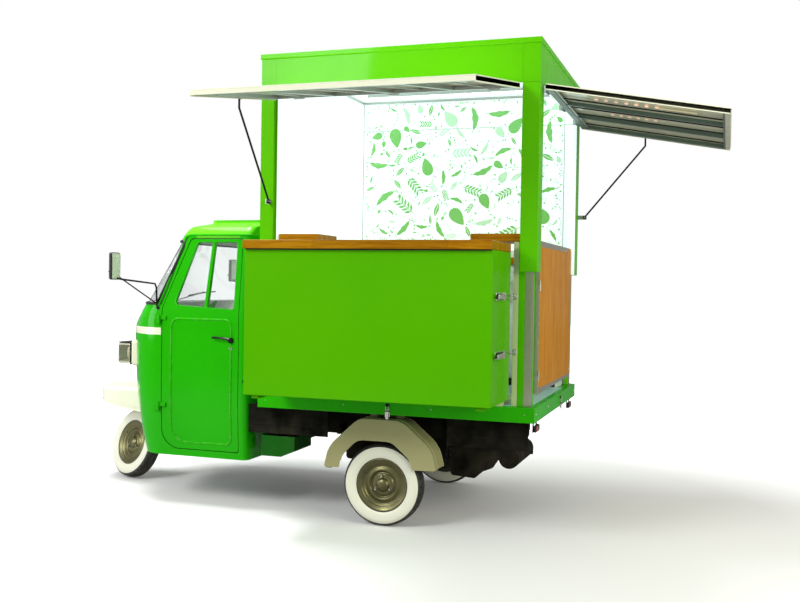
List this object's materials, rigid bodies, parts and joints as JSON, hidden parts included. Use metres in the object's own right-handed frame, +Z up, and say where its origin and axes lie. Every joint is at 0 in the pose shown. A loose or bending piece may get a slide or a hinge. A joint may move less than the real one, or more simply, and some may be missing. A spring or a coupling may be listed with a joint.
{
  "type": "three-wheeled food truck",
  "caption": "Light three-wheeled food truck: rounded cab, pop-up box shell, side and rear awnings on stays, slide-out serving counter, half door.",
  "frame": {"origin": "on the ground, at the bottom centre of the whole vehicle box as stored, awnings and counter open", "axes": "+X forward, +Y to the vehicle's left, +Z up"},
  "size_m": [4.2033, 2.5358, 2.745],
  "materials": {
    "tyre": "matt rubber with a white wall",
    "rim_paint": "bronze grey paint",
    "black_metal": "satin black",
    "chassis_black": "matt black underseal",
    "engine_metal": "dull cast metal",
    "dark_green": "dark green paint",
    "khaki_paint": "khaki cream paint",
    "green_paint": "bright green gloss",
    "white_panel": "white laminate",
    "aluminium": "mill finish",
    "cream_paint": "cream paint",
    "wood": "varnished orange brown wood",
    "red_lens": "red lens",
    "glass": "clear",
    "black_plastic": "moulded",
    "seat_vinyl": "black vinyl",
    "lens": "ribbed lens"
  },
  "bodies": {
    "chassis": {"chassis_frame": "chassis_black", "rear_axle": "chassis_black", "engine": "engine_metal", "exhaust": "engine_metal", "battery_box": "dark_green", "fuel_tank": "chassis_black", "rear_mudguards": "khaki_paint", "sill_frame": "green_paint", "lower_walls": "green_paint", "slide_pads": "black_plastic", "rear_door_hinges": "aluminium", "corner_tubes": "aluminium", "corner_columns": "green_paint", "latch_post": "cream_paint", "worktops": "wood", "back_cabinet": "white_panel", "tail_lamps": "red_lens", "rear_brackets": "black_metal", "counter_runners_fixed": "aluminium", "cab_shell": "green_paint", "cab_glass": "glass", "cab_floor": "dark_green", "dashboard": "black_plastic", "seat_base": "black_metal", "seat": "seat_vinyl", "door_hinges": "green_paint", "headlamp_pods": "cream_paint", "headlamp_lenses": "lens", "front_mudguard": "cream_paint", "mirrors": "black_plastic"},
    "shell": {"roof_panel": "green_paint", "shell_posts": "green_paint", "shell_walls": "green_paint", "shell_hinges": "aluminium"},
    "side_awning": {"side_awning_frame": "aluminium", "side_awning_skin": "cream_paint"},
    "rear_awning": {"rear_awning_frame": "aluminium", "rear_awning_skin": "cream_paint"},
    "side_stay": {"side_stay": "black_metal"},
    "rear_stay": {"rear_stay": "black_metal"},
    "counter": {"counter_box": "green_paint", "counter_top": "wood", "counter_runners": "cream_paint"},
    "rear_door": {"rear_door_frame": "aluminium", "rear_door_panel": "wood"},
    "door_left": {"door_left": "green_paint", "door_glass_left": "glass"},
    "door_right": {"door_right": "green_paint", "door_glass_right": "glass"},
    "fork": {"steering_fork": "black_metal", "handlebar": "black_metal"},
    "wheel_front": {"tyre_front": "tyre", "rim_front": "rim_paint"},
    "wheel_left": {"tyre_left": "tyre", "rim_left": "rim_paint"},
    "wheel_right": {"tyre_right": "tyre", "rim_right": "rim_paint"}
  },
  "joints": [
    {"name": "shell_lift", "type": "slide", "parent": "chassis", "child": "shell", "axis": [0, 0, 1], "range_m": [-0.734, 0]},
    {"name": "side_awning_hinge", "type": "hinge", "parent": "shell", "child": "side_awning", "pos_m": [-0.2363, 0.28613, 2.474], "axis": [1, 0, 0], "range_deg": [-80.8, 0]},
    {"name": "rear_awning_hinge", "type": "hinge", "parent": "shell", "child": "rear_awning", "pos_m": [-1.1273, -0.45487, 2.474], "axis": [0, 1, 0], "range_deg": [-79.8, 0]},
    {"name": "side_stay_foot", "type": "hinge", "parent": "shell", "child": "side_stay", "pos_m": [0.4657, 0.32613, 1.87], "axis": [-1, 0, 0], "range_deg": [-38.31, 0]},
    {"name": "rear_stay_foot", "type": "hinge", "parent": "shell", "child": "rear_stay", "pos_m": [-1.1673, -1.17187, 1.87], "axis": [0, -1, 0], "range_deg": [-39.71, 0]},
    {"name": "counter_slide", "type": "slide", "parent": "chassis", "child": "counter", "axis": [0, 1, 0], "range_m": [-0.4741, 0]},
    {"name": "rear_door_hinge", "type": "hinge", "parent": "chassis", "child": "rear_door", "pos_m": [-1.1163, 0.15663, 1.2], "axis": [0, 0, -1], "range_deg": [0, 105]},
    {"name": "door_left_hinge", "type": "hinge", "parent": "chassis", "child": "door_left", "pos_m": [1.2747, 0.20713, 0.88], "axis": [0, 0, -1], "range_deg": [0, 70]},
    {"name": "door_right_hinge", "type": "hinge", "parent": "chassis", "child": "door_right", "pos_m": [1.2747, -1.11687, 0.88], "axis": [0, 0, 1], "range_deg": [0, 70]},
    {"name": "steering", "type": "hinge", "parent": "chassis", "child": "fork", "pos_m": [1.8637, -0.45487, 0.23659], "axis": [-0.5592, 0, 0.829], "range_deg": [-14, 70]},
    {"name": "wheel_front_spin", "type": "hinge", "parent": "fork", "child": "wheel_front", "pos_m": [1.8637, -0.45487, 0.23659], "axis": [0.3892, 0.8829, 0.2625], "continuous": true},
    {"name": "wheel_left_spin", "type": "hinge", "parent": "chassis", "child": "wheel_left", "pos_m": [-0.2363, 0.20013, 0.238], "axis": [0, 1, 0], "continuous": true},
    {"name": "wheel_right_spin", "type": "hinge", "parent": "chassis", "child": "wheel_right", "pos_m": [-0.2363, -1.10987, 0.238], "axis": [0, 1, 0], "continuous": true}
  ],
  "couplings": [
    {"joint": "counter_slide", "follows": "side_awning_hinge", "m_per_rad": 0.33612},
    {"joint": "side_stay_foot", "follows": "side_awning_hinge", "ratio": 0.47401},
    {"joint": "rear_stay_foot", "follows": "rear_awning_hinge", "ratio": 0.49749}
  ]
}
